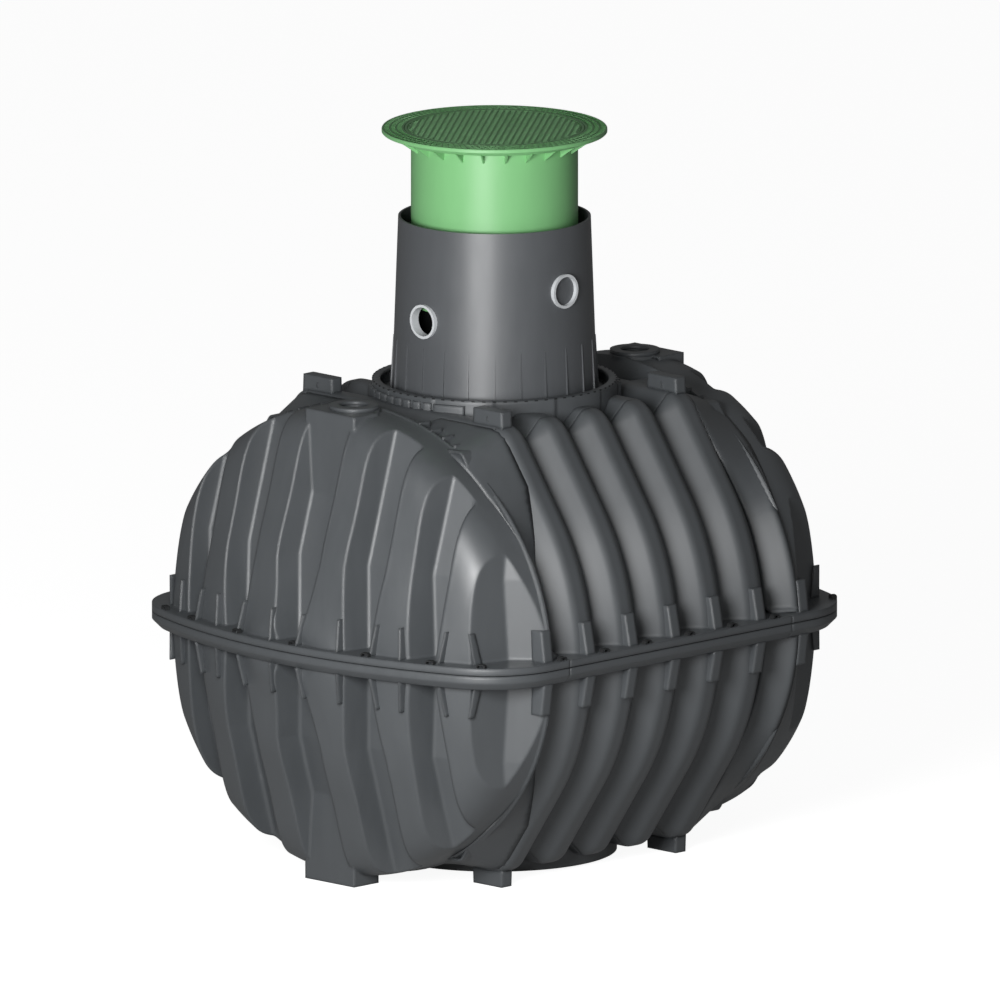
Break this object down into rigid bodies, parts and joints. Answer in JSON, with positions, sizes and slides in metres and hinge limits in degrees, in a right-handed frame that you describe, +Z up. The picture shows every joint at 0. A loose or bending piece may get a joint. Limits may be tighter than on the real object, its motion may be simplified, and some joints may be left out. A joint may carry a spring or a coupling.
{
  "type": "buried plastic cesspool tank",
  "caption": "Ribbed black plastic cesspool tank in two half shells with lugs, a pipe shaft on top and a green telescopic neck and cover.",
  "frame": {"origin": "middle of the tank's footprint, at the level the feet stand on", "axes": "+X along the tank to the right end, +Y across it to the back wall, +Z up the shaft and the neck"},
  "size_m": [2.28, 1.985, 2.768],
  "materials": {
    "shell": "matte",
    "shaft": "matte",
    "green": "satin",
    "seal": "matte",
    "rubber": "matte"
  },
  "bodies": {
    "tank": {"base_blank": "shell", "base_ring": "shell", "dome_collar": "shell", "feet": "shell", "front_port_seal": "seal", "front_port_stopper": "seal", "left_end_port": "shell", "left_port_seal": "seal", "lower_back_wall": "shell", "lower_base": "shell", "lower_front_wall": "shell", "lower_left_end": "shell", "lower_right_end": "shell", "neck_seal": "rubber", "right_end_port": "shell", "seam_gasket": "rubber", "shaft": "shaft", "shaft_seal": "rubber", "top_lugs": "shell", "upper_back_wall": "shell", "upper_crown": "shell", "upper_front_wall": "shell", "upper_left_end": "shell", "upper_right_end": "shell"},
    "neck": {"telescopic_neck": "green", "lid_frame": "green", "walk_on_cover": "green"}
  },
  "joints": [
    {"name": "neck_slide", "type": "slide", "parent": "tank", "child": "neck", "axis": [0, 0, 1], "range_m": [-0.18, 0.18]}
  ]
}
